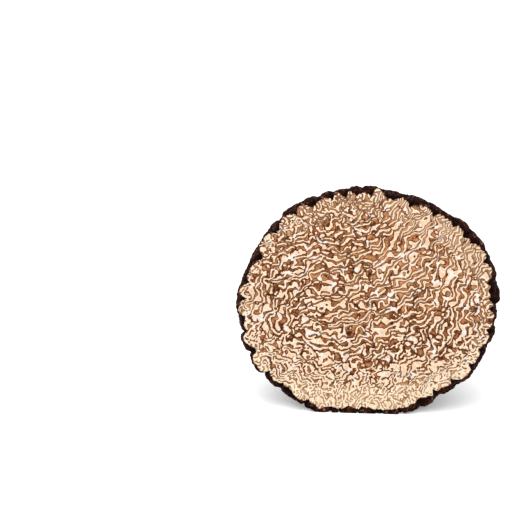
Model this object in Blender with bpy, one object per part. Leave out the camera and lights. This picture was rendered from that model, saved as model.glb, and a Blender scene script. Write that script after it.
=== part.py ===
"""Half of a black truffle, cut through and stood on its edge.

One solid: a lumpy body with polygonal warts raised all over its rind, a flat cut face in front and an
underside that is pressed flat. The mesh is made in the frame of the cut: x runs right along the cut, y runs
back into the body and z runs up along the cut, from the middle of the cut. The object then leans back by its
rotation. In the world, +Z is up, the cut faces -Y, and the origin is on the surface that the half stands on,
under the middle of its box. Lengths are in metres.
"""

import math

import bmesh
import bpy
import numpy as np

# The body under its warts is an ellipsoid, whose widest section lies a little behind the cut
BODY_HALF_WIDTH = 0.0259
BODY_HALF_DEPTH = 0.0237
BODY_HALF_HEIGHT = 0.0230
BODY_CENTRE = np.array([0.0004, 0.0050, -0.0008])

# Swells and dents of the body: where they are, seen from the middle of the cut, then height and spread
SWELLS = (
    ((-0.92, 0.10, 0.38), -0.0014, 0.20),
    ((0.48, 0.05, 0.87), -0.0008, 0.16),
    ((0.64, 0.05, -0.76), -0.0013, 0.17),
    ((0.90, 0.10, 0.42), 0.0007, 0.20),
    ((-0.45, 0.80, 0.40), 0.0014, 0.38),
    ((0.55, 0.82, 0.10), -0.0009, 0.30),
    ((0.10, 0.85, -0.50), 0.0010, 0.30),
)

# How the half stands: the cut leans back, and the middle of the cut is this high and this far forward
LEAN = math.radians(10)
CUT_CENTRE = (-0.0004, -0.0134, 0.0231)
GROOVE_CLEARANCE = 0.0005
UNDERSIDE_BLEND = 0.0015
LEAST_FALL = 1e-6

# Warts: many-sided pyramids with blunt tops, parted by narrow grooves
WART_SEED = 16
WART_SPACING = 0.0034
WART_REACH = 0.0255
WART_TRIES = 12000
WART_HEIGHT = 0.0019
WART_HEIGHT_SPREAD = 0.25
WART_RINGS = ((0.86, 0.52), (0.64, 0.86), (0.34, 0.98))
GROOVE_WELD = 0.0003
SIDEWAYS = (0.3, 0.5, 0.8)

# The knife's plane takes in any corner that is this near to it
CUT_SNAP = 0.00002

RIND_COLOUR = (0.019, 0.0075, 0.0045)
RIND_ROUGHNESS = 0.62
FLESH_COLOUR = (0.53, 0.35, 0.235)
FLESH_ROUGHNESS = 0.55


def unit(vectors):
    """The vectors, each at length one."""
    return vectors / np.linalg.norm(vectors, axis=-1, keepdims=True)


def fall(directions):
    """How much each direction of the cut's frame points down in the world."""
    return math.sin(LEAN) * directions[..., 1] - math.cos(LEAN) * directions[..., 2]


def floor_reach(directions, clearance):
    """How far each direction runs before it is this high above the surface that the half stands on."""
    down = np.maximum(fall(directions), LEAST_FALL)
    return (CUT_CENTRE[2] - clearance) / down


def ellipsoid_reach(directions):
    """How far the body's ellipsoid is from the middle of the cut."""
    half_sizes = np.array([BODY_HALF_WIDTH, BODY_HALF_DEPTH, BODY_HALF_HEIGHT])
    a = ((directions / half_sizes) ** 2).sum(axis=-1)
    b = (directions * BODY_CENTRE / half_sizes**2).sum(axis=-1)
    c = ((BODY_CENTRE / half_sizes) ** 2).sum() - 1
    return (b + np.sqrt(b * b - a * c)) / a


def body_reach(directions):
    """How far the bottoms of the grooves are from the middle of the cut."""
    reach = ellipsoid_reach(directions)
    for towards, height, spread in SWELLS:
        nearness = directions @ unit(np.array(towards))
        reach = reach + height * np.exp((nearness - 1) / spread**2)
    floor = floor_reach(directions, GROOVE_CLEARANCE)
    share = np.clip(0.5 + 0.5 * (floor - reach) / UNDERSIDE_BLEND, 0, 1)
    return floor + (reach - floor) * share - UNDERSIDE_BLEND * share * (1 - share)


def surface_points(directions, wart_height):
    """Points of the rind, with what would sink below the surface pressed flat on it."""
    reach = np.minimum(body_reach(directions) + wart_height, floor_reach(directions, 0))
    return directions * reach[..., None]


def wart_directions():
    """Where the warts are: scattered at random all round, but none closer than the spacing. The first one
    is straight above the origin, so that the half has a flat face there to rest on."""
    random = np.random.default_rng(WART_SEED)
    lean = np.array([[1, 0, 0], [0, math.cos(LEAN), -math.sin(LEAN)], [0, math.sin(LEAN), math.cos(LEAN)]])
    found = unit(lean @ -np.array(CUT_CENTRE))[None, :]
    closest = math.cos(WART_SPACING / WART_REACH)
    for trial in unit(random.normal(size=(WART_TRIES, 3))):
        if (found @ trial).max() < closest:
            found = np.vstack([found, trial])
    return found


def wart_outlines(centres):
    """The corners where three grooves meet, and for each wart the corners round it in order. They are the
    Voronoi cells of the centres, read from the centres' convex hull."""
    hull = bmesh.new()
    for centre in centres:
        hull.verts.new(centre)
    hull.verts.ensure_lookup_table()
    bmesh.ops.convex_hull(hull, input=hull.verts)
    hull.normal_update()
    hull.faces.index_update()
    corners = np.array([face.normal for face in hull.faces])
    corners *= np.sign((corners * [face.calc_center_median() for face in hull.faces]).sum(axis=1))[:, None]
    outlines = []
    for vertex, centre in zip(hull.verts, centres):
        around = [face.index for face in vertex.link_faces]
        across = unit(np.cross(centre, SIDEWAYS))
        onward = np.cross(centre, across)
        angles = np.arctan2(corners[around] @ onward, corners[around] @ across)
        outlines.append([around[i] for i in np.argsort(angles)])
    hull.free()
    return corners, outlines


def add_wart(body, groove, centre, corners, height):
    """One wart on its groove: rings of points that rise towards a blunt top."""
    lower = groove
    for share, rise in WART_RINGS:
        towards = unit(centre + share * (corners - centre))
        ring = [body.verts.new(p) for p in surface_points(towards, rise * height)]
        for i in range(len(ring)):
            body.faces.new((lower[i - 1], lower[i], ring[i], ring[i - 1]))
        lower = ring
    tip = body.verts.new(surface_points(centre, height))
    for i in range(len(lower)):
        body.faces.new((lower[i - 1], lower[i], tip))


def warty_body():
    """The whole body with its warts, before the cut."""
    random = np.random.default_rng(WART_SEED + 1)
    centres = wart_directions()
    corners, outlines = wart_outlines(centres)
    body = bmesh.new()
    groove = [body.verts.new(p) for p in surface_points(corners, 0)]
    for centre, outline in zip(centres, outlines):
        height = WART_HEIGHT * (1 + WART_HEIGHT_SPREAD * random.uniform(-1, 1))
        add_wart(body, [groove[i] for i in outline], centre, corners[outline], height)
    bmesh.ops.remove_doubles(body, verts=groove, dist=GROOVE_WELD)
    bmesh.ops.triangulate(body, faces=body.faces)
    return body


def cut_through(body):
    """Takes away what is in front of the cut and closes the cut with a fan of flat faces. Returns them."""
    everything = body.verts[:] + body.edges[:] + body.faces[:]
    made = bmesh.ops.bisect_plane(
        body, geom=everything, dist=CUT_SNAP, plane_co=(0, 0, 0), plane_no=(0, 1, 0), clear_inner=True
    )
    for edge in [e for e in made["geom_cut"] if isinstance(e, bmesh.types.BMEdge)]:
        for vertex in edge.verts:
            vertex.co.y = 0
    middle = body.verts.new((0, 0, 0))
    rim = [edge for edge in body.edges if edge.is_boundary]
    face_of_cut = [body.faces.new((middle, *edge.verts)) for edge in rim]
    bmesh.ops.triangulate(body, faces=body.faces)
    bmesh.ops.recalc_face_normals(body, faces=body.faces)
    return face_of_cut


def material(name, colour, roughness):
    """A plain finish."""
    made = bpy.data.materials.new(name)
    made.use_nodes = True
    shader = made.node_tree.nodes["Principled BSDF"]
    shader.inputs["Base Color"].default_value = (*colour, 1)
    shader.inputs["Roughness"].default_value = roughness
    shader.inputs["Metallic"].default_value = 0
    return made


def truffle_half():
    """The half truffle as one object, leaning back where it stands."""
    body = warty_body()
    for face in cut_through(body):
        face.material_index = 1
    mesh = bpy.data.meshes.new("truffle_half")
    body.to_mesh(mesh)
    body.free()
    mesh.materials.append(material("rind", RIND_COLOUR, RIND_ROUGHNESS))
    mesh.materials.append(material("flesh", FLESH_COLOUR, FLESH_ROUGHNESS))
    made = bpy.data.objects.new("truffle_half", mesh)
    made.location = CUT_CENTRE
    made.rotation_euler.x = -LEAN
    bpy.context.scene.collection.objects.link(made)
    return made


for old in list(bpy.data.objects):
    bpy.data.objects.remove(old, do_unlink=True)
truffle_half()
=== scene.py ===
# %% [markdown]
# A cut black truffle
#
# The object is one half of a black truffle, stood on its edge so that the marbled cut faces us. It is
# made of two skins over one solid. The rind is a thin dark shell with warts all over it. The flesh fills
# the shell and ends in the flat cut. The solid gives the size and the place, and these cells give the
# looks.

# %% Load the solid
import math

import bmesh
import bpy
import numpy as np
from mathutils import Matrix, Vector


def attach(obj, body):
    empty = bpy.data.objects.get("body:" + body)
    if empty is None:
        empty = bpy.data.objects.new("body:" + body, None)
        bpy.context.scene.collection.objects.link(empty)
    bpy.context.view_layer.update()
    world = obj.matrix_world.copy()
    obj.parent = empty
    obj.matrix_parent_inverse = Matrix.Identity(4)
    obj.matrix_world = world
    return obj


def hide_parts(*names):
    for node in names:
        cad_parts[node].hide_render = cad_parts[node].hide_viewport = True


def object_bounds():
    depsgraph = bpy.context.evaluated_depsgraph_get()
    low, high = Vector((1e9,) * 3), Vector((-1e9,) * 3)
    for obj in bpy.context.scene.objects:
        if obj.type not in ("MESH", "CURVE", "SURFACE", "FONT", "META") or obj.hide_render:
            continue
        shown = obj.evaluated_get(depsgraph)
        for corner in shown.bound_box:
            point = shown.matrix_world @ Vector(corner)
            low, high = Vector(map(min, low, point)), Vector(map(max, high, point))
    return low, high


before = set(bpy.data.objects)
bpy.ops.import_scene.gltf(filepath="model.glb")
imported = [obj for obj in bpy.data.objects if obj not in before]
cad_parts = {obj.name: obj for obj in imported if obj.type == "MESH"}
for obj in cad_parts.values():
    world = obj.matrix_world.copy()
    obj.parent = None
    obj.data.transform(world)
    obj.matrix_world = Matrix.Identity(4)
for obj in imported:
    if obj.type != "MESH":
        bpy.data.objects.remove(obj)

solid_box = [list(corner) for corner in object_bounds()]
print("the solid is", [round((b - a) * 1000, 1) for a, b in zip(*solid_box)], "mm")

# %% [markdown]
# The frame of the cut
#
# The half leans back a little, so upright axes would be awkward to work in. All shapes are worked out in
# the frame of the cut instead: x to the right along the cut, y back into the body and z up along the cut,
# from the middle of the cut. One small function turns them into the world at the end.

# %% Frame of the cut
LEAN = math.radians(10)
CUT_CENTRE = np.array([-0.0004, -0.0134, 0.0231])
CUT_AXES = np.array([[1, 0, 0], [0, math.cos(LEAN), -math.sin(LEAN)], [0, math.sin(LEAN), math.cos(LEAN)]])


def to_world(points):
    """Points of the cut's frame, in the world."""
    return CUT_CENTRE + points @ CUT_AXES


def to_cut(points):
    """Points of the world, in the cut's frame."""
    return (points - CUT_CENTRE) @ CUT_AXES.T


print("the cut leans back", round(math.degrees(LEAN)), "degrees")

# %% [markdown]
# The lumpy body
#
# Under its warts a truffle is a lumpy ball, and no two are alike. A ball of clay could be pushed and
# pulled by hand, but a formula is easier to share with the solid: an ellipsoid, plus a soft swell or dent
# in a few directions, pressed flat where the half stands. The formula gives one distance for each
# direction from the middle of the cut. That makes everything that follows easy, because a wart only has
# to add to the distance.

# %% Body formula
BODY_HALF_SIZES = np.array([0.0259, 0.0237, 0.0230])
BODY_CENTRE = np.array([0.0004, 0.0050, -0.0008])
SWELLS = (
    ((-0.92, 0.10, 0.38), -0.0014, 0.20),
    ((0.48, 0.05, 0.87), -0.0008, 0.16),
    ((0.64, 0.05, -0.76), -0.0013, 0.17),
    ((0.90, 0.10, 0.42), 0.0007, 0.20),
    ((-0.45, 0.80, 0.40), 0.0014, 0.38),
    ((0.55, 0.82, 0.10), -0.0009, 0.30),
    ((0.10, 0.85, -0.50), 0.0010, 0.30),
)
GROOVE_CLEARANCE = 0.0005
UNDERSIDE_BLEND = 0.0015
LEAST_FALL = 1e-6


def unit(vectors):
    """The vectors, each at length one."""
    return vectors / np.linalg.norm(vectors, axis=-1, keepdims=True)


def floor_reach(directions, clearance):
    """How far each direction runs before it is this high above the floor."""
    fall = math.sin(LEAN) * directions[..., 1] - math.cos(LEAN) * directions[..., 2]
    return (CUT_CENTRE[2] - clearance) / np.maximum(fall, LEAST_FALL)


def body_reach(directions):
    """How far the bottoms of the grooves are from the middle of the cut."""
    a = ((directions / BODY_HALF_SIZES) ** 2).sum(axis=-1)
    b = (directions * BODY_CENTRE / BODY_HALF_SIZES**2).sum(axis=-1)
    c = ((BODY_CENTRE / BODY_HALF_SIZES) ** 2).sum() - 1
    reach = (b + np.sqrt(b * b - a * c)) / a
    for towards, height, spread in SWELLS:
        nearness = directions @ unit(np.array(towards))
        reach = reach + height * np.exp((nearness - 1) / spread**2)
    floor = floor_reach(directions, GROOVE_CLEARANCE)
    share = np.clip(0.5 + 0.5 * (floor - reach) / UNDERSIDE_BLEND, 0, 1)
    return floor + (reach - floor) * share - UNDERSIDE_BLEND * share * (1 - share)


print("straight back the body reaches", round(float(body_reach(np.array([0.0, 1.0, 0.0]))) * 1000, 1), "mm")

# %% [markdown]
# Where the warts are
#
# The warts grow side by side with narrow grooves between them, as mud cracks do, and each has four to
# eight sides. Throwing darts at a ball and keeping only those that land far enough from the others gives
# natural middles. The grooves are then where two middles are equally far, which is a Voronoi pattern. The
# hull of the middles gives it with no extra library: each of its triangles stands for one corner where
# three grooves meet.

# %% Wart layout
WART_SEED = 16
WART_SPACING = 0.0034
WART_REACH = 0.0255
WART_TRIES = 12000
WART_HEIGHT = 0.0019
WART_HEIGHT_SPREAD = 0.25
GROOVE_PIECES = 4


def wart_directions():
    """The middles of the warts. The first is straight above the origin, where the half rests."""
    random = np.random.default_rng(WART_SEED)
    found = unit(CUT_AXES @ -CUT_CENTRE)[None, :]
    closest = math.cos(WART_SPACING / WART_REACH)
    for trial in unit(random.normal(size=(WART_TRIES, 3))):
        if (found @ trial).max() < closest:
            found = np.vstack([found, trial])
    return found


def groove_net(middles):
    """The corners where grooves meet, the grooves as pairs of corners, and the two warts on each groove."""
    hull = bmesh.new()
    for middle in middles:
        hull.verts.new(middle)
    hull.verts.index_update()
    bmesh.ops.convex_hull(hull, input=hull.verts)
    hull.normal_update()
    hull.faces.index_update()
    corners = np.array([face.normal for face in hull.faces])
    outward = (corners * [face.calc_center_median() for face in hull.faces]).sum(axis=1)
    corners *= np.sign(outward)[:, None]
    grooves = np.array([[face.index for face in edge.link_faces] for edge in hull.edges])
    warts = np.array([[vertex.index for vertex in edge.verts] for edge in hull.edges])
    hull.free()
    return corners, grooves, warts


middles = wart_directions()
corners, grooves, groove_warts = groove_net(middles)
random = np.random.default_rng(WART_SEED + 1)
wart_heights = WART_HEIGHT * (1 + WART_HEIGHT_SPREAD * random.uniform(-1, 1, len(middles)))
gaps = np.arccos((middles[groove_warts[:, 0]] * middles[groove_warts[:, 1]]).sum(axis=1)) / 2
half_widths = np.full(len(middles), np.inf)
for side in (0, 1):
    np.minimum.at(half_widths, groove_warts[:, side], gaps)
print(len(middles), "warts, from", round(half_widths.min() * 2 * WART_REACH * 1000, 1), "mm across")

# %% [markdown]
# A grid with no poles
#
# The rind and the cut both need even, fine cells. A globe's grid crowds at its poles, so a square grid is
# bent into a disc instead: each square ring of cells becomes a round ring. Lifted off the page, the same
# disc becomes a dome. Both have the same ring of points along the rim, so the rind and the flesh meet
# exactly.

# %% Disc grid
FINE_CELLS = 300
COARSE = 4


def disc_grid(cells):
    """Points of a disc of radius one as (across, up), and its faces, which turn anticlockwise."""
    step = np.linspace(-1, 1, cells + 1)
    a, b = (side.ravel() for side in np.meshgrid(step, step))
    wide = np.abs(a) >= np.abs(b)
    longer = np.where(wide, a, b)
    shorter = np.where(wide, b, a)
    turn = math.pi / 4 * np.divide(shorter, longer, out=np.zeros_like(a), where=longer != 0)
    turn = np.where(wide, turn, math.pi / 2 - turn)
    points = longer[:, None] * np.stack([np.cos(turn), np.sin(turn)], axis=1)
    corner = (np.arange(cells)[:, None] * (cells + 1) + np.arange(cells)).ravel()
    faces = np.stack([corner, corner + 1, corner + cells + 2, corner + cells + 1], axis=1)
    return points, faces


def rim_ring(cells):
    """The grid's points along its rim, anticlockwise from the lower right."""
    row = cells + 1
    right = np.arange(cells) * row + cells
    top = row * row - 1 - np.arange(cells)
    left = (cells - np.arange(cells)) * row
    bottom = np.arange(cells)
    return np.concatenate([right, top, left, bottom])


def dome(points, depth):
    """Directions that bulge back from the disc. The rim lies at this angle behind the cut."""
    radius = np.linalg.norm(points, axis=1)
    away = radius * (math.pi / 2 - depth)
    flat = np.divide(np.sin(away), radius, out=np.zeros_like(radius), where=radius > 0)
    return np.stack([points[:, 0] * flat, np.cos(away), points[:, 1] * flat], axis=1)


def hem(fine, coarse):
    """Faces between a fine ring and a coarse one with COARSE times fewer points."""
    faces = []
    for i in range(len(coarse)):
        along = [fine[(i * COARSE + k) % len(fine)] for k in range(COARSE + 1)]
        faces.append([*along, coarse[(i + 1) % len(coarse)], coarse[i]])
    return faces


fine_points, fine_faces = disc_grid(FINE_CELLS)
coarse_points, coarse_faces = disc_grid(FINE_CELLS // COARSE)
fine_rim = rim_ring(FINE_CELLS)
coarse_rim = rim_ring(FINE_CELLS // COARSE)
print(len(fine_faces), "fine cells,", len(fine_rim), "points along the rim")

# %% [markdown]
# The bare shell of the rind
#
# The rind is a skin about a third of a millimetre thick that follows the warts, and it is thicker where
# the half stands. First comes a shell with no warts: a fine outer dome, a coarse inner one that nobody
# sees, and a narrow ring in the cut that joins them. Each point keeps two numbers, how much of the wart
# relief it takes and how far it is sunk in. Only the outer dome and the two edges of the ring take the
# relief. Noise round the rim makes the skin uneven, because a ring of one width would look like a drawn
# line.

# %% Shell without warts
SKIN = 0.00030
SKIN_BELOW = 0.00085
SKIN_SPREAD = 0.00011
SKIN_GRAIN = 0.0006
SKIN_SEED = 21
INNER_SINK = 0.0006
INNER_DEPTH = 0.012


def ring_noise(count, length, grain, seed):
    """Smooth noise round a closed ring of this length, in steps of about this grain, spread one."""
    white = np.fft.rfft(np.random.default_rng(seed).normal(size=count))
    waves = np.arange(len(white)) / length
    noise = np.fft.irfft(white * np.exp(-((waves * grain) ** 2) * 8), count)
    return (noise - noise.mean()) / noise.std()


def mesh_object(name, points, faces):
    """A new object with this mesh, in the scene."""
    mesh = bpy.data.meshes.new(name)
    mesh.from_pydata(np.asarray(points).tolist(), [], faces)
    made = bpy.data.objects.new(name, mesh)
    bpy.context.scene.collection.objects.link(made)
    return made


def keep_values(mesh, name, values):
    """Keeps one number for each point of the mesh under this name."""
    mesh.attributes.new(name, "FLOAT", "POINT").data.foreach_set("value", np.asarray(values, np.float32))


def ground_points(directions):
    """Points of the world at the bottom of the grooves."""
    return to_world(directions * body_reach(directions)[:, None])


outer = dome(fine_points, 0)
inner = dome(coarse_points, INNER_DEPTH)
shell_directions = np.concatenate([outer, outer[fine_rim], inner])
first_edge = len(outer)
first_inner = first_edge + len(fine_rim)
edge_ring = np.arange(len(fine_rim)) + first_edge
shell_faces = fine_faces[:, ::-1].tolist()
for i in range(len(fine_rim)):
    after = (i + 1) % len(fine_rim)
    shell_faces.append([edge_ring[i], fine_rim[i], fine_rim[after], edge_ring[after]])
shell_faces += hem(edge_ring.tolist(), (coarse_rim + first_inner).tolist())
shell_faces += (coarse_faces + first_inner).tolist()

rim_length = 2 * math.pi * WART_REACH
skin = SKIN + SKIN_BELOW * np.clip(-fine_points[fine_rim, 1], 0, 1) ** 4
skin += SKIN_SPREAD * ring_noise(len(fine_rim), rim_length, SKIN_GRAIN, SKIN_SEED)
skin = np.maximum(skin, SKIN / 3)
sink = np.concatenate([np.zeros(len(outer)), skin, np.full(len(inner), INNER_SINK)])
relief = np.concatenate([np.ones(len(outer) + len(fine_rim)), np.zeros(len(inner))])
rind = mesh_object("truffle_rind", ground_points(shell_directions), shell_faces)
keep_values(rind.data, "relief", relief)
keep_values(rind.data, "sink", sink)
print("the shell has", len(shell_faces), "faces")

# %% [markdown]
# Helpers for node trees
#
# Both the warts and the finishes are node trees, so four small helpers keep their cells short: one fills
# a socket, one adds any node, one does a sum and one does a sum with vectors.

# %% Node helpers
def fill(tree, socket, value):
    """Links the value to the socket if it is another socket, and else sets it."""
    if isinstance(value, bpy.types.NodeSocket):
        tree.links.new(value, socket)
    else:
        socket.default_value = value


def add(tree, kind, values=None, **settings):
    """A node of this kind with its settings, and its inputs filled by name or number."""
    made = tree.nodes.new(kind)
    for name, setting in settings.items():
        setattr(made, name, setting)
    for key, value in (values or {}).items():
        fill(tree, made.inputs[key], value)
    return made


def calc(tree, operation, *values, clamp=False):
    """The result of one sum."""
    made = add(tree, "ShaderNodeMath", dict(enumerate(values)), operation=operation)
    made.use_clamp = clamp
    return made.outputs[0]


def vector_calc(tree, operation, *values, scale=None):
    """The result of one sum with vectors."""
    made = add(tree, "ShaderNodeVectorMath", dict(enumerate(values)), operation=operation)
    if scale is not None:
        fill(tree, made.inputs["Scale"], scale)
    return made.outputs["Vector"]


print("helpers for trees are ready")

# %% [markdown]
# The tree that raises the warts
#
# Each wart is a blunt pyramid with as many sides as it has neighbours. Its sides rise steeply from the
# groove and then level off, so its height depends only on how far a point is from the nearest groove.
# That is one Geometry Proximity node on the net of grooves. The size and height of the wart are read from
# the nearest middle. On top come small cracks, which split a wart's sides into ribs, and a fine grain.
# Everything moves straight out from the middle of the cut, and what would sink into the floor is pressed
# flat on it. The skin's thickness is taken off last, so that the skin can't vanish where the outside is
# pressed flat.

# %% Wart tree
# How many times narrower than its spacing a crack is, and the share of the skin's thickness that the
# grooves and the tops of the warts have
CRACK_NARROWNESS = 4.0
SKIN_IN_GROOVES = 0.30
SKIN_ON_WARTS = 1.25


def wart_tree():
    """The tree, and the identifiers of its inputs by name."""
    tree = bpy.data.node_groups.new("raise_warts", "GeometryNodeTree")
    face = tree.interface
    face.new_socket("Shell", in_out="INPUT", socket_type="NodeSocketGeometry")
    wanted = (
        ("Groove net", "NodeSocketObject"),
        ("Wart middles", "NodeSocketObject"),
        ("Middle of the cut", "NodeSocketVector"),
        ("Steepness", "NodeSocketFloat"),
        ("Groove wobble", "NodeSocketFloat"),
        ("Wobble size", "NodeSocketFloat"),
        ("Crack depth", "NodeSocketFloat"),
        ("Crack spacing", "NodeSocketFloat"),
        ("Grain height", "NodeSocketFloat"),
        ("Grain size", "NodeSocketFloat"),
        ("Seed", "NodeSocketFloat"),
        ("Finish", "NodeSocketMaterial"),
    )
    sockets = {name: face.new_socket(name, in_out="INPUT", socket_type=kind) for name, kind in wanted}
    face.new_socket("Rind", in_out="OUTPUT", socket_type="NodeSocketGeometry")
    given = tree.nodes.new("NodeGroupInput").outputs

    place = add(tree, "GeometryNodeInputPosition").outputs[0]
    arm = vector_calc(tree, "SUBTRACT", place, given["Middle of the cut"])
    towards = vector_calc(tree, "NORMALIZE", arm)
    seed = {"W": given["Seed"]}

    # The grooves wander a little from the straight lines of the net
    per_metre = calc(tree, "DIVIDE", 1.0, given["Wobble size"])
    drift = add(tree, "ShaderNodeTexNoise", {"Vector": place, "Scale": per_metre, "Detail": 1.0, **seed},
                noise_dimensions="4D")
    drift = vector_calc(tree, "SUBTRACT", drift.outputs["Color"], (0.5, 0.5, 0.5))
    drift = vector_calc(tree, "SCALE", drift, scale=given["Groove wobble"])
    looked_at = vector_calc(tree, "ADD", towards, drift)

    # How far from the nearest groove, as a share of the wart's half width
    net = add(tree, "GeometryNodeObjectInfo", {"Object": given["Groove net"]}).outputs["Geometry"]
    near = add(tree, "GeometryNodeProximity", {0: net, "Sample Position": looked_at},
               target_element="EDGES")
    tips = add(tree, "GeometryNodeObjectInfo", {"Object": given["Wart middles"]}).outputs["Geometry"]
    which = add(tree, "GeometryNodeSampleNearest", {0: tips, 1: looked_at}).outputs[0]

    def of_wart(name):
        stored = add(tree, "GeometryNodeInputNamedAttribute", {"Name": name}, data_type="FLOAT").outputs[0]
        sampled = add(tree, "GeometryNodeSampleIndex", {0: tips, 1: stored, 2: which}, data_type="FLOAT")
        return sampled.outputs[0]

    share = calc(tree, "DIVIDE", near.outputs["Distance"], of_wart("half_width"), clamp=True)
    slope = calc(tree, "POWER", calc(tree, "SUBTRACT", 1.0, share), given["Steepness"])
    rise = calc(tree, "SUBTRACT", 1.0, slope)
    wart = calc(tree, "MULTIPLY", rise, of_wart("height"))

    # Cracks across the wart, and grain
    crack_scale = calc(tree, "DIVIDE", 1.0, given["Crack spacing"])
    crack = add(tree, "ShaderNodeTexVoronoi", {"Vector": place, "Scale": crack_scale, **seed},
                voronoi_dimensions="4D", feature="DISTANCE_TO_EDGE").outputs["Distance"]
    crack = calc(tree, "MULTIPLY", crack, CRACK_NARROWNESS, clamp=True)
    crack = calc(tree, "SUBTRACT", 1.0, crack)
    crack = calc(tree, "MULTIPLY", crack, rise)
    grain_scale = calc(tree, "DIVIDE", 1.0, given["Grain size"])
    grain = add(tree, "ShaderNodeTexNoise",
                {"Vector": place, "Scale": grain_scale, "Detail": 2.0, "Roughness": 0.6, **seed},
                noise_dimensions="4D").outputs[0]
    grain = calc(tree, "MULTIPLY", calc(tree, "SUBTRACT", grain, 0.5), given["Grain height"])
    lift = calc(tree, "SUBTRACT", wart, calc(tree, "MULTIPLY", crack, given["Crack depth"]))
    lift = calc(tree, "ADD", lift, grain)

    def own(name):
        return add(tree, "GeometryNodeInputNamedAttribute", {"Name": name}, data_type="FLOAT").outputs[0]

    lift = calc(tree, "MULTIPLY", lift, own("relief"))
    raised = vector_calc(tree, "ADD", arm, vector_calc(tree, "SCALE", towards, scale=lift))

    # Nothing goes below the floor: the arm is shortened until it ends there
    drop = calc(tree, "MULTIPLY", add(tree, "ShaderNodeSeparateXYZ", {0: raised}).outputs[2], -1.0)
    room = add(tree, "ShaderNodeSeparateXYZ", {0: given["Middle of the cut"]}).outputs[2]
    fits = calc(tree, "DIVIDE", room, calc(tree, "MAXIMUM", drop, room))
    pressed = vector_calc(tree, "SCALE", raised, scale=fits)

    # The skin is thin in the grooves and thick on the warts
    thickness = calc(tree, "MULTIPLY", rise, SKIN_ON_WARTS - SKIN_IN_GROOVES)
    thickness = calc(tree, "SUBTRACT", thickness, 1.0 - SKIN_IN_GROOVES)
    thickness = calc(tree, "ADD", 1.0, calc(tree, "MULTIPLY", thickness, own("relief")))
    thickness = calc(tree, "MULTIPLY", thickness, own("sink"))
    pressed = vector_calc(tree, "SUBTRACT", pressed, vector_calc(tree, "SCALE", towards, scale=thickness))
    pressed = vector_calc(tree, "ADD", pressed, given["Middle of the cut"])

    stored = given["Shell"]
    for name, value in (("rise", rise), ("crack", crack)):
        stored = add(tree, "GeometryNodeStoreNamedAttribute", {0: stored, "Name": name, "Value": value},
                     data_type="FLOAT", domain="POINT").outputs[0]
    moved = add(tree, "GeometryNodeSetPosition", {0: stored, "Position": pressed}).outputs[0]
    smooth = add(tree, "GeometryNodeSetShadeSmooth", {0: moved}).outputs[0]
    real = add(tree, "GeometryNodeRealizeInstances", {0: smooth}).outputs[0]
    finished = add(tree, "GeometryNodeSetMaterial", {0: real, "Material": given["Finish"]}).outputs[0]
    tree.links.new(finished, tree.nodes.new("NodeGroupOutput").inputs[0])
    return tree, {name: socket.identifier for name, socket in sockets.items()}


warts, wart_inputs = wart_tree()
print("the tree has", len(warts.nodes), "nodes")

# %% [markdown]
# Helpers for finishes
#
# A finish is a node tree too. Colours are written as a screen shows them and are turned into light here.
# Each noise is given by the size of its features in metres, and it reads Object coordinates, so that it
# stays in place when the piece moves.

# %% Finish helpers
def linear(colour):
    """A screen colour of 0 to 255 as the light that it stands for."""
    share = [c / 255 for c in colour]
    return (*[c / 12.92 if c <= 0.04045 else ((c + 0.055) / 1.055) ** 2.4 for c in share], 1.0)


def ramp(tree, value, stops):
    """A colour that follows the value. Stops are (place from 0 to 1, screen colour)."""
    made = add(tree, "ShaderNodeValToRGB", {0: value})
    elements = made.color_ramp.elements
    while len(elements) < len(stops):
        elements.new(1.0)
    for element, (at, colour) in zip(elements, stops):
        element.position = at
        element.color = linear(colour)
    return made.outputs[0]


def mix(tree, share, first, second, blend="MIX"):
    """The first colour with this share of the second."""
    made = add(tree, "ShaderNodeMix", data_type="RGBA", blend_type=blend)
    fill(tree, made.inputs["Factor"], share)
    fill(tree, made.inputs[6], first)
    fill(tree, made.inputs[7], second)
    return made.outputs[2]


def noise(tree, size, detail=2.0, roughness=0.5):
    """Noise with features about this many metres wide, from 0 to 1."""
    place = add(tree, "ShaderNodeTexCoord").outputs["Object"]
    made = add(tree, "ShaderNodeTexNoise",
               {"Vector": place, "Scale": 1 / size, "Detail": detail, "Roughness": roughness})
    return made.outputs[0]


def new_finish(name):
    """An empty material: its tree and its shader."""
    made = bpy.data.materials.new(name)
    made.use_nodes = True
    return made, made.node_tree, made.node_tree.nodes["Principled BSDF"]


def value_of(tree, name):
    """A value that is kept on the mesh."""
    return add(tree, "ShaderNodeAttribute", attribute_name=name).outputs["Fac"]


def map_range(tree, value, low, high, to_low=0.0, to_high=1.0):
    """The value moved from one range to another, and held inside it."""
    return add(tree, "ShaderNodeMapRange", {0: value, 1: low, 2: high, 3: to_low, 4: to_high}).outputs[0]


print("helpers for finishes are ready")

# %% [markdown]
# The finish of the rind
#
# The rind is a near-black brown with dull reddish-brown tips on the warts, and a rough, matte skin. The
# tree left two values on the mesh, how high each point has risen and how deep it lies in a crack, and the
# colour
# follows them: the grooves and cracks are darkened as painted shade, and the tips are lighter, partly their
# own reddish brown and partly a painted highlight. Noise breaks it up, so that no two warts match, and a
# fine bump gives the skin its bite. Pale hairlines on the wart tops are partly fine fibres of the dry skin
# and partly painted glints. They lie where another noise crosses its middle value, because such a crossing
# is always a thin, winding line.

# %% Rind finish
# Rind colours by height: the dark grooves are painted shade, and the light tips are partly their own
# reddish brown and partly a painted highlight
RIND_WITH_PAINTED_SHADE_AND_HIGHLIGHT = (
    (0.00, (9, 3, 1)),
    (0.35, (24, 8, 5)),
    (0.75, (58, 21, 13)),
    (1.00, (118, 56, 40)),
)
# Painted shade in the cracks
PAINTED_CRACK_SHADE_COLOUR = (9, 4, 2)
# Pale hairlines: partly fine fibres, partly painted glints
HAIR_AND_GLINT_COLOUR = (214, 164, 140)

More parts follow.
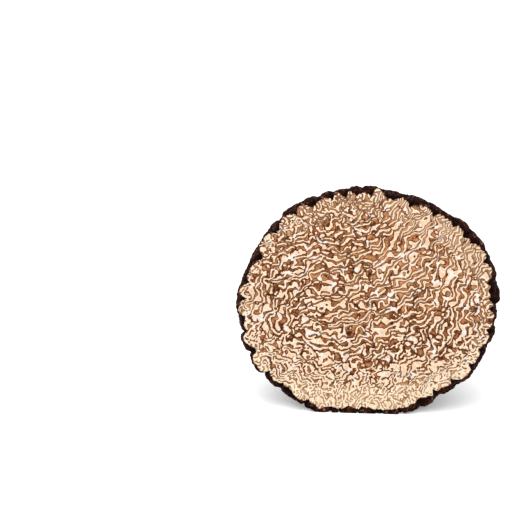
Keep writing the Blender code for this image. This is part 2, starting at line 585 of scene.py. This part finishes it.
# The colour's place on the ramp: how much of it comes from the height and from the patches, and how far
# it is then moved down
FROM_HEIGHT = 0.8
FROM_PATCHES = 1.8
RAMP_SHIFT = 1.05

# Sizes of the noises in metres, and how strongly they show
PATCH_SIZE = 0.0016
SPECK_SIZE = 0.00022
SPECK_SHADES = (0.55, 1.45)
CRACK_SHADE = 0.75
HAIR_AND_GLINT_SPACING = 0.0011
HAIR_AND_GLINT_EDGES = (0.022, 0.004)
HAIR_AND_GLINT_ON_TOPS = (0.5, 0.9)
HAIR_AND_GLINT_AREA_SIZE = 0.0009
HAIR_AND_GLINT_AREAS = (0.48, 0.64)
HAIR_AND_GLINT_STRENGTH = 0.45
DULLNESS_SIZE = 0.0006
DULLNESS = (0.60, 0.90)
BITE_SIZE = 0.00028
BITE_DEPTH = 0.00012


def rind_finish():
    """Near-black rind with painted shade in the grooves and cracks, reddish-brown tips partly lightened by
    a painted highlight, and pale hairlines that are partly painted glints.
    """
    made, tree, shader = new_finish("rind")
    rise = value_of(tree, "rise")
    patchy = calc(tree, "MULTIPLY", noise(tree, PATCH_SIZE, 3.0, 0.6), FROM_PATCHES)
    height = calc(tree, "ADD", calc(tree, "MULTIPLY", rise, FROM_HEIGHT), patchy)
    # Painted shade darkens the grooves, and a painted highlight helps lighten the tips
    colour = ramp(tree, calc(tree, "SUBTRACT", height, RAMP_SHIFT), RIND_WITH_PAINTED_SHADE_AND_HIGHLIGHT)
    speck = map_range(tree, noise(tree, SPECK_SIZE, 3.0, 0.65), 0.35, 0.70, *SPECK_SHADES)
    colour = mix(tree, 1.0, colour, speck, "MULTIPLY")
    # Painted shade darkens the cracks
    dark = calc(tree, "MULTIPLY", value_of(tree, "crack"), CRACK_SHADE)
    colour = mix(tree, dark, colour, linear(PAINTED_CRACK_SHADE_COLOUR))

    # A pale hairline, partly a fine fibre and partly a painted glint, lies where this noise is near its
    # middle value, on the tops of the warts and in some areas
    contour = calc(tree, "ABSOLUTE", calc(tree, "SUBTRACT", noise(tree, HAIR_AND_GLINT_SPACING, 3.0, 0.6), 0.5))
    hair_and_glint = map_range(tree, contour, *HAIR_AND_GLINT_EDGES)
    hair_and_glint = calc(tree, "MULTIPLY", hair_and_glint, map_range(tree, rise, *HAIR_AND_GLINT_ON_TOPS))
    areas = map_range(tree, noise(tree, HAIR_AND_GLINT_AREA_SIZE), *HAIR_AND_GLINT_AREAS, 0.0, HAIR_AND_GLINT_STRENGTH)
    hair_and_glint = calc(tree, "MULTIPLY", hair_and_glint, areas)
    colour = mix(tree, hair_and_glint, colour, linear(HAIR_AND_GLINT_COLOUR))
    tree.links.new(colour, shader.inputs["Base Color"])

    dull = map_range(tree, noise(tree, DULLNESS_SIZE), 0.3, 0.7, *DULLNESS)
    tree.links.new(dull, shader.inputs["Roughness"])
    bite = noise(tree, BITE_SIZE, 4.0, 0.6)
    bump = add(tree, "ShaderNodeBump", {"Strength": 0.55, "Distance": BITE_DEPTH, "Height": bite})
    tree.links.new(bump.outputs[0], shader.inputs["Normal"])
    shader.inputs["Specular IOR Level"].default_value = 0.03
    return made


rind_material = rind_finish()
print("rind finish has", len(rind_material.node_tree.nodes), "nodes")

# %% [markdown]
# Raise the warts
#
# The tree needs the net of grooves as edges and the middles as points, both on a ball of radius one,
# because it looks up directions. They are helpers only, so they go again when the result is a plain mesh.

# %% Raised rind
def net_points(corners, grooves, pieces):
    """The grooves cut in short pieces that follow the ball, as points and edges."""
    shares = np.linspace(0, 1, pieces + 1)[:, None, None]
    start, end = corners[grooves[:, 0]], corners[grooves[:, 1]]
    points = unit(start + shares * (end - start)).reshape(-1, 3)
    index = np.arange(len(points)).reshape(pieces + 1, -1)
    edges = np.stack([index[:-1].ravel(), index[1:].ravel()], axis=1)
    return points, edges


net_at, net_edges = net_points(corners, grooves, GROOVE_PIECES)
net_mesh = bpy.data.meshes.new("groove_net")
net_mesh.from_pydata((net_at @ CUT_AXES).tolist(), net_edges.tolist(), [])
net = bpy.data.objects.new("groove_net", net_mesh)
bpy.context.scene.collection.objects.link(net)
tips = mesh_object("wart_middles", middles @ CUT_AXES, [])
keep_values(tips.data, "half_width", half_widths)
keep_values(tips.data, "height", wart_heights)

WART_SIZES = {
    "Groove net": net,
    "Wart middles": tips,
    "Middle of the cut": CUT_CENTRE.tolist(),
    "Steepness": 3.5,
    "Groove wobble": 0.024,
    "Wobble size": 0.0022,
    "Crack depth": 0.00018,
    "Crack spacing": 0.0013,
    "Grain height": 0.00030,
    "Grain size": 0.0007,
    "Seed": 4.0,
    "Finish": rind_material,
}


def make_real(piece):
    """The piece with its modifiers turned into a plain mesh."""
    bpy.context.view_layer.update()
    evaluated = piece.evaluated_get(bpy.context.evaluated_depsgraph_get())
    mesh = bpy.data.meshes.new_from_object(evaluated)
    piece.modifiers.clear()
    piece.data = mesh
    mesh.name = piece.name


raising = rind.modifiers.new("raise warts", "NODES")
raising.node_group = warts
for name, value in WART_SIZES.items():
    raising[wart_inputs[name]] = value
make_real(rind)
for helper in (net, tips):
    bpy.data.objects.remove(helper, do_unlink=True)


def points_of(mesh):
    """The mesh's points as rows of x, y and z."""
    flat = np.empty(len(mesh.vertices) * 3, np.float32)
    mesh.vertices.foreach_get("co", flat)
    return flat.reshape(-1, 3).astype(float)


rind_points = points_of(rind.data)
print("the rind is", ((rind_points.max(axis=0) - rind_points.min(axis=0)) * 1000).round(1), "mm")

# %% [markdown]
# How the veins grow
#
# The flesh is brown spore tissue with pale veins of air and thread running through it like a maze.
# Painted lines never look right, because real veins keep an even distance from each other while they
# turn, fork and end. The same kind of rule that makes them in nature makes them here. Random noise is
# sieved so that only waves of about the right width stay, it is pushed towards full dark or full pale,
# and this is repeated a few times. In some places the veins run side by side, so the sieve is stretched
# along a direction that changes across the cut.
#
# Near the rind the veins are finer. One sieve can't change its width from place to place, so two mazes
# are grown, and one fades into the other. A bias tips the balance between brown and pale from place to
# place.

# %% Vein grid
VEIN_STEP = 0.0001
VEIN_FIELD = (0.0600, 0.0540)

columns, rows = (round(side / VEIN_STEP) for side in VEIN_FIELD)
vein_x, vein_z = np.meshgrid(
    (np.arange(columns) - (columns - 1) / 2) * VEIN_STEP, (np.arange(rows) - (rows - 1) / 2) * VEIN_STEP
)
wave_z = np.fft.fftfreq(rows, VEIN_STEP)[:, None]
wave_x = np.fft.rfftfreq(columns, VEIN_STEP)[None, :]
waves = np.hypot(wave_x, wave_z)


def sieve(spectrum, kept):
    """The field that is left when only these shares of the waves are kept."""
    return np.fft.irfft2(spectrum * kept, (rows, columns))


def soft_noise(random, width):
    """Smooth noise with features about this many metres wide, with a spread of one."""
    white = np.fft.rfft2(random.normal(size=(rows, columns)))
    field = sieve(white, np.exp(-0.5 * (waves * 2 * width) ** 2))
    return (field - field.mean()) / field.std()


print("the veins grow on a grid of", columns, "by", rows)

# %% [markdown]
# Veins that run side by side
#
# At the upper right of this cut the veins run steeply side by side, as if they had been combed. Each one
# could be drawn by hand, but a dozen places with a direction and a strength are enough. A vein has no front
# and no back, so a direction is kept as the cosine and sine of twice its angle, where half a turn changes
# nothing.

# %% Flow of the veins
# Where veins run side by side: x and z on the cut in mm, direction in degrees, radius in mm and strength
FLOWS = (
    (12, 12, 58, 6, 3.2),
    (18, 8, 68, 5, 1.6),
    (8, 4, 33, 7, 1.0),
    (-2, 3, 8, 9, 0.4),
    (-4, -4, 25, 8, 0.2),
    (19, -2, 85, 6, 0.4),
    (-20, -2, 75, 6, 0.5),
    (-13, 6, 20, 7, 0.2),
    (4, -10, 35, 8, 0.1),
    (-12, -12, 150, 8, 0.3),
    (-2, 12, 10, 7, 0.3),
    (15, -13, 40, 6, 0.3),
)
FLOW_CALM = 0.6


def flow():
    """The cosine and sine of twice the veins' direction, with the strength of the flow as their length."""
    along, beside = np.zeros_like(vein_x), np.zeros_like(vein_x)
    total = np.full_like(vein_x, FLOW_CALM)
    for x, z, degrees, radius, strength in FLOWS:
        near = strength * np.exp(-((vein_x * 1000 - x) ** 2 + (vein_z * 1000 - z) ** 2) / radius**2)
        along += near * math.cos(2 * math.radians(degrees))
        beside += near * math.sin(2 * math.radians(degrees))
        total += near
    return along / total, beside / total


print(len(FLOWS), "places steer the veins")

# %% [markdown]
# The growth
#
# The growth is a loop of two steps, the sieve and the push. The sieve works on waves, after a Fourier
# transform, because there it is one product for the whole cut. A blur by hand would need a large sum at
# every point. A little of the first noise comes back in each round, so that the veins don't get too tidy,
# and at the end the whole maze is bent a little.

# %% Growth of the veins
# Widths of the waves in metres, from one vein to the next, in the middle of the cut and near the rind
MIDDLE_WAVE = 0.00110
RIM_WAVE = 0.00076

# The sieve: how far other widths pass too, and how much is taken out of the much longer waves
WAVE_SPREAD = 0.26
LONG_WAVES = 0.32
LONG_CUT = 0.5

# The growth: its rounds, the push to full dark or pale, how strongly the flow steers, what stays of the
# first noise, and a last bend in metres
VEIN_SEED = 9
VEIN_ROUNDS = 5
PUSH = 1.3
FLOW_STRENGTH = 0.9
KEPT_NOISE = 0.12
WARP = 0.0004
WARP_SIZE = 0.0015


def sample(field, x, z):
    """The field's values at these places, read between its grid points."""
    column = np.clip(x / VEIN_STEP + (columns - 1) / 2, 0, columns - 1.001)
    row = np.clip(z / VEIN_STEP + (rows - 1) / 2, 0, rows - 1.001)
    c, r = column.astype(int), row.astype(int)
    u, v = column - c, row - r
    lower = field[r, c] * (1 - u) + field[r, c + 1] * u
    upper = field[r + 1, c] * (1 - u) + field[r + 1, c + 1] * u
    return lower * (1 - v) + upper * v


def grow_veins(wave, along, beside, bias):
    """The maze: below nought in the brown tissue and above it in the veins, with a spread of one."""
    random = np.random.default_rng(VEIN_SEED)
    scaled = waves * wave
    ring = np.exp(-0.5 * ((scaled - 1) / WAVE_SPREAD) ** 2)
    ring -= LONG_CUT * np.exp(-0.5 * (scaled / LONG_WAVES) ** 2)
    around = np.arctan2(wave_z, wave_x) - math.pi / 2

    def steered(field):
        spectrum = np.fft.rfft2(field)
        run = along * sieve(spectrum, ring * np.cos(2 * around))
        run += beside * sieve(spectrum, ring * np.sin(2 * around))
        return sieve(spectrum, ring) + FLOW_STRENGTH * run

    first = steered(random.normal(size=(rows, columns)))
    first /= first.std()
    maze = first + bias
    for _ in range(VEIN_ROUNDS):
        pushed = steered(np.tanh(PUSH * maze))
        maze = pushed / pushed.std() + KEPT_NOISE * first + bias
    maze /= maze.std()
    shift_x, shift_z = (WARP * soft_noise(random, WARP_SIZE) for _ in range(2))
    return sample(maze, vein_x + shift_x, vein_z + shift_z)


print("a vein and its gap are", MIDDLE_WAVE * 1000, "mm wide in the middle")

# %% [markdown]
# Where the flesh changes
#
# The cut isn't the same all over. Its flesh is paler along the rind, at the bottom and a little at the
# left, and a few airy spots are white. Each of these is a map over the cut, and soft noise makes its edge
# ragged. The same maps steer the growth, as a bias, and later the colours.

# %% Maps of the cut
MARK_SEED = 6
CUT_HALF_SIZES = (0.0265, 0.0228)
NOISE_WIDTHS = (0.0018, 0.0009, 0.0013, 0.0008, 0.0035)

# Bands along the rind, in mm: how deep they reach at the sides, how much deeper at the bottom and at the
# top, how ragged they are, and over what depth they fade
PALE_RIM = (1.4, 2.4, 0.0, 0.8, 1.8)
PALE_BOTTOM = (0.0, 7.0, 0.0, 1.0, 4.0)
FAINT_RIM = (4.0, 0.0, 2.0, 1.5, 4.0)
FINE_VEINS = (5.0, 6.0, 3.0, 1.0, 5.0)
PALE_RIM_AT_SIDES = 0.45
FAINT = 0.35

# White spots: the noise's level from which they start and are full, and how strongly veins gather there
SPOT_LEVEL = 1.08
SPOT_FADE = 0.42
SPOT_PUSH = 2.0

# How warm or dark the brown is, and what tips the balance between brown and pale
TONE_PATCHES = 0.27
TONE_SLOW = 0.13
BALANCE = -0.24
PALER_OUTSIDE = 0.35
OUTSIDE_FROM = 0.5
PALER_BELOW = 0.40
BELOW_FROM = 3.0
BELOW_OVER = 12.0
PALER_LEFT = 0.10
LEFT_SPREAD = 1.5
DARKER_ABOVE = 0.30
BALANCE_MOOD = 0.12
BALANCE_SLOW = 0.12

field_random = np.random.default_rng(MARK_SEED)
ragged, spots, mood, patches, slow = [soft_noise(field_random, width) for width in NOISE_WIDTHS]
inside = np.hypot(vein_x / CUT_HALF_SIZES[0], vein_z / CUT_HALF_SIZES[1])
upward = vein_z / CUT_HALF_SIZES[1] / np.maximum(inside, 0.1)
lowness = np.clip(-upward, 0, 1) ** 2
highness = np.clip(upward, 0, 1) ** 2
leftness = np.clip(-vein_x / CUT_HALF_SIZES[0] * LEFT_SPREAD, 0, 1)
to_rim = (1 - inside) * CUT_HALF_SIZES[1] * 1000


def band(reach, lower, upper, raggedness, fade):
    """How much each place lies in a band along the rind, from 0 to 1."""
    depth = reach + lower * lowness + upper * highness + raggedness * ragged
    return np.clip((depth - to_rim) / fade, 0, 1)


outer_band = band(*PALE_RIM) * (PALE_RIM_AT_SIDES + (1 - PALE_RIM_AT_SIDES) * lowness)
outer_band = np.maximum(outer_band, band(*PALE_BOTTOM))
outer_band = np.maximum(outer_band, FAINT * band(*FAINT_RIM))
white_spots = np.clip((spots - SPOT_LEVEL) / SPOT_FADE, 0, 1)
tone = np.clip(0.5 + TONE_PATCHES * patches + TONE_SLOW * slow, 0, 1)
uneven = BALANCE + PALER_OUTSIDE * np.clip((inside - OUTSIDE_FROM) / (1 - OUTSIDE_FROM), 0, 1)
uneven += PALER_BELOW * np.clip((-vein_z * 1000 - BELOW_FROM) / BELOW_OVER, 0, 1)
uneven += BALANCE_MOOD * mood + BALANCE_SLOW * slow * (1 - lowness)
uneven += PALER_LEFT * leftness - DARKER_ABOVE * highness
print("white spots cover", round(float((white_spots > 0.5).mean()), 3), "of the grid")

# %% [markdown]
# Both mazes in one
#
# Now the mazes can grow. In the finer one the veins turn a little towards the rind, like spokes. Where
# one maze fades into the other they partly cancel, because they don't match, so the sum is made stronger
# there.

# %% Grown veins
RIM_FAN = 0.1

turn = np.arctan2(vein_z, vein_x)
fan = RIM_FAN * np.clip(inside, 0, 1)
along, beside = flow()
middle_maze = grow_veins(MIDDLE_WAVE, along, beside, uneven + SPOT_PUSH * white_spots)
rim_maze = grow_veins(RIM_WAVE, along + fan * np.cos(2 * turn), beside + fan * np.sin(2 * turn), uneven)
near_rim = band(*FINE_VEINS)
maze = (1 - near_rim) * middle_maze + near_rim * rim_maze
maze /= np.sqrt((1 - near_rim) ** 2 + near_rim**2)
print("veins cover", round(float((maze > 0.3).mean()), 2), "of the grid")

# %% [markdown]
# The body of flesh
#
# The flesh is one closed body: the cut in front, as fine as the veins need, and a coarse back that lies
# hidden in the rind. The rim of the cut uses the very points of the rind's inner edge, so no gap can open
# between them. Each point of the cut keeps the value of the maze there, and how near it is to the rind.

# %% Flesh
FLESH_BACK_SINK = 0.0009
FLESH_BACK_DEPTH = 0.02
CUT_RELIEF = 0.00004

edge_at = to_cut(rind_points[edge_ring])
ring_turn = np.arctan2(edge_at[:, 2], edge_at[:, 0])
ring_radius = np.hypot(edge_at[:, 0], edge_at[:, 2])
order = np.argsort(ring_turn)
point_radius = np.linalg.norm(fine_points, axis=1)
point_turn = np.arctan2(fine_points[:, 1], fine_points[:, 0])
reach_there = np.interp(point_turn, ring_turn[order], ring_radius[order], period=2 * math.pi)
cut_x = fine_points[:, 0] * reach_there
cut_z = fine_points[:, 1] * reach_there
cut_maze = sample(maze, cut_x, cut_z)
cut_y = -CUT_RELIEF * np.clip(cut_maze, -1, 1) * (point_radius < 0.995)
cut_at = np.stack([cut_x, cut_y, cut_z], axis=1)
cut_at[fine_rim] = edge_at

back = dome(coarse_points, FLESH_BACK_DEPTH)
back_at = back * (body_reach(back) - FLESH_BACK_SINK)[:, None]
flesh_points = to_world(np.concatenate([cut_at, back_at]))
flesh_faces = fine_faces.tolist()
flesh_faces += [face[::-1] for face in hem(fine_rim.tolist(), (coarse_rim + len(cut_at)).tolist())]
flesh_faces += (coarse_faces[:, ::-1] + len(cut_at)).tolist()
flesh = mesh_object("truffle_flesh", flesh_points, flesh_faces)


def on_cut(values):
    """Values for each point of the flesh, with none on its back."""
    return np.concatenate([values, np.zeros(len(back_at))])


keep_values(flesh.data, "maze", on_cut(cut_maze))
keep_values(flesh.data, "band", on_cut(sample(outer_band, cut_x, cut_z)))
keep_values(flesh.data, "spot", on_cut(sample(white_spots, cut_x, cut_z)))
keep_values(flesh.data, "tone", on_cut(sample(tone, cut_x, cut_z)))
flesh.data.shade_smooth()
cut_width, cut_height = (round(float(np.ptp(side)) * 1000, 1) for side in (cut_x, cut_z))
print("the cut is", cut_width, "by", cut_height, "mm")

# %% [markdown]
# The finish of the flesh
#
# Across a vein the colour isn't a plain step from brown to cream. Each pale line has a dark line beside
# it, where the tissue is densest, and the middle of the brown is lighter again. One colour ramp over the
# maze draws all of that at once. Towards the rind the tissue has few spores and pales to cream, with only
# faint outlines left, so a second ramp takes over there. Where veins meet they are full of air and turn
# white. Noise shifts the level a little everywhere, which frays the edges of the veins, and flecks darken
# the brown.

# %% Flesh finish
LEVELS = (-2.4, 2.4)
INNER_COLOURS = (
    (-2.20, (206, 152, 104)),
    (-1.50, (184, 128, 85)),
    (-0.90, (151, 94, 52)),
    (-0.35, (78, 36, 12)),
    (-0.05, (68, 28, 7)),
    (0.14, (143, 79, 37)),
    (0.32, (216, 150, 99)),
    (0.52, (255, 241, 214)),
    (1.00, (255, 224, 190)),
    (1.45, (238, 194, 158)),
    (1.80, (238, 206, 176)),
    (2.25, (246, 228, 208)),
)
OUTER_COLOURS = (
    (-2.20, (240, 208, 174)),
    (-0.80, (217, 171, 128)),
    (-0.30, (173, 120, 76)),
    (-0.05, (137, 86, 47)),
    (0.15, (197, 144, 98)),
    (0.40, (255, 246, 222)),
    (0.85, (255, 236, 206)),
    (1.25, (246, 216, 182)),
    (1.60, (242, 208, 172)),
    (2.20, (255, 240, 212)),
)
AIR_WHITE = (244, 237, 230)
FLESH_BRIGHTNESS = 0.645
WARM_BROWN = (1.12, 1.0, 0.86, 1.0)
DARK_BROWN = (0.66, 0.64, 0.62, 1.0)

# Sizes of the noises in metres, and how strongly they show
FRAY_SIZE = 0.0005
FRAY = 0.9
FLECK_SIZE = 0.0006
FLECK_SHADES = (0.45, 1.45)
SPECKLE_SIZE = 0.0005
SPECKLE_SHADES = (0.78 * FLESH_BRIGHTNESS, 1.18 * FLESH_BRIGHTNESS)
FLESH_DULLNESS = (0.50, 0.66)
VEIN_BUMP = 0.00008


def flesh_finish():
    """Cream veins through brown tissue."""
    made, tree, shader = new_finish("flesh")
    fine = noise(tree, FRAY_SIZE, 3.0, 0.6)
    level = calc(tree, "ADD", value_of(tree, "maze"), map_range(tree, fine, 0.2, 0.8, -FRAY, FRAY))
    place = map_range(tree, level, *LEVELS)

    def by_level(colours):
        span = LEVELS[1] - LEVELS[0]
        return ramp(tree, place, [((at - LEVELS[0]) / span, colour) for at, colour in colours])

    brown = map_range(tree, level, 0.3, 0.0)
    warmth = value_of(tree, "tone")
    centre = by_level(INNER_COLOURS)
    warm = calc(tree, "MULTIPLY", brown, map_range(tree, warmth, 0.5, 1.0))
    centre = mix(tree, warm, centre, WARM_BROWN, "MULTIPLY")
    dark = calc(tree, "MULTIPLY", brown, map_range(tree, warmth, 0.5, 0.0))
    centre = mix(tree, dark, centre, DARK_BROWN, "MULTIPLY")
    flecks = map_range(tree, noise(tree, FLECK_SIZE, 3.0, 0.65), 0.35, 0.65, *FLECK_SHADES)
    centre = mix(tree, brown, centre, mix(tree, 1.0, centre, flecks, "MULTIPLY"))
    airy = calc(tree, "MULTIPLY", value_of(tree, "spot"), map_range(tree, level, 0.0, 0.5))
    centre = mix(tree, airy, centre, linear(AIR_WHITE))
    colour = mix(tree, value_of(tree, "band"), centre, by_level(OUTER_COLOURS))
    speckle = map_range(tree, noise(tree, SPECKLE_SIZE, 4.0, 0.7), 0.3, 0.7, *SPECKLE_SHADES)
    colour = mix(tree, 1.0, colour, speckle, "MULTIPLY")
    tree.links.new(colour, shader.inputs["Base Color"])
    tree.links.new(map_range(tree, level, -1.0, 1.0, *FLESH_DULLNESS), shader.inputs["Roughness"])
    height = calc(tree, "ADD", calc(tree, "MULTIPLY", place, 1.5), calc(tree, "MULTIPLY", fine, 0.4))
    bump = add(tree, "ShaderNodeBump", {"Strength": 0.35, "Distance": VEIN_BUMP, "Height": height})
    tree.links.new(bump.outputs[0], shader.inputs["Normal"])
    shader.inputs["Specular IOR Level"].default_value = 0.08
    return made


flesh.data.materials.append(flesh_finish())
print("flesh finish is on", flesh.name)

# %% [markdown]
# Tie the pieces to the part
#
# Both skins stand for the one solid, and they move with it.

# %% Tie pieces
for piece, slot in ((rind, "rind"), (flesh, "flesh")):
    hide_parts("truffle_half")
    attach(piece, "root")

# %% [markdown]
# Floor and light
#
# The truffle stands on a plain white sweep in very even light, which is bright enough for the floor to
# turn pure white. A bright sky does about half of it, and one large lamp in front, above the camera,
# lights the cut. The floor glows a little, as a light table does, so that the shadow under the half stays
# soft and pale.

# %% Stage
FLOOR_SIZE = 3.0
FLOOR_WHITE = (0.95, 0.95, 0.95, 1)
FLOOR_GLOW = 0.25
FLOOR_DULLNESS = 0.8
SKY_STRENGTH = 1.02
LAMP_SIZE = 0.45
LAMP_AT = (-0.05, -0.35, 0.40)
LAMP_TARGET = (0, 0, 0.02)
LAMP_POWER = 1.9


def plain_floor():
    """A wide pale floor at the height where the half stands."""
    half = FLOOR_SIZE / 2
    made = mesh_object("floor", [(-half, -half, 0), (half, -half, 0), (half, half, 0), (-half, half, 0)],
                       [(0, 1, 2, 3)])
    finish, tree, shader = new_finish("floor")
    shader.inputs["Base Color"].default_value = FLOOR_WHITE
    shader.inputs["Emission Color"].default_value = (1, 1, 1, 1)
    shader.inputs["Emission Strength"].default_value = FLOOR_GLOW
    shader.inputs["Roughness"].default_value = FLOOR_DULLNESS
    made.data.materials.append(finish)
    return made


def look_at(thing, target):
    """Turns a lamp or a camera towards a place."""
    away = thing.location - target
    thing.rotation_mode = "QUATERNION"
    thing.rotation_quaternion = away.to_track_quat("Z", "Y")


plain_floor()
world = bpy.data.worlds.new("sky")
world.use_nodes = True
world.node_tree.nodes["Background"].inputs["Color"].default_value = (1, 1, 1, 1)
world.node_tree.nodes["Background"].inputs["Strength"].default_value = SKY_STRENGTH
bpy.context.scene.world = world
lamp_data = bpy.data.lights.new("lamp", "AREA")
lamp_data.size = LAMP_SIZE
lamp_data.energy = LAMP_POWER
lamp = bpy.data.objects.new("lamp", lamp_data)
lamp.location = LAMP_AT
look_at(lamp, Vector(LAMP_TARGET))
bpy.context.scene.collection.objects.link(lamp)
bpy.context.scene.view_settings.view_transform = "Standard"
print("lamp of", LAMP_POWER, "W")

# %% [markdown]
# The camera
#
# A long lens a little above the table keeps the cut almost free of perspective. It is aimed past the half,
# which sits to the lower right in the picture. The distance and the width of the view give the focal
# length, so the half keeps its size in the picture when the camera is moved nearer or away.

# %% Camera
CAMERA_DISTANCE = 0.32
CAMERA_ELEVATION = math.radians(12.5)
CAMERA_AZIMUTH = math.radians(1.0)
SENSOR_WIDTH = 0.036
FRAME_WIDTH = 0.1133
AIM_RIGHT = -0.0235
AIM_UP = 0.0055


def place_camera():
    """A long lens that looks a little down on the half and past its left side."""
    data = bpy.data.cameras.new("camera")
    data.sensor_width = SENSOR_WIDTH * 1000
    data.lens = SENSOR_WIDTH * 1000 * CAMERA_DISTANCE / FRAME_WIDTH
    made = bpy.data.objects.new("camera", data)
    level = math.cos(CAMERA_ELEVATION)
    aside, ahead = math.sin(CAMERA_AZIMUTH), math.cos(CAMERA_AZIMUTH)
    back = Vector((aside * level, -ahead * level, math.sin(CAMERA_ELEVATION)))
    right = Vector((ahead, aside, 0))
    up = back.cross(right)
    middle = (Vector(solid_box[0]) + Vector(solid_box[1])) / 2
    made.location = middle + back * CAMERA_DISTANCE
    look_at(made, middle + right * AIM_RIGHT + up * AIM_UP)
    data.clip_start = CAMERA_DISTANCE / 20
    bpy.context.scene.collection.objects.link(made)
    bpy.context.scene.camera = made
    return made


camera = place_camera()
print("lens of", round(camera.data.lens), "mm")
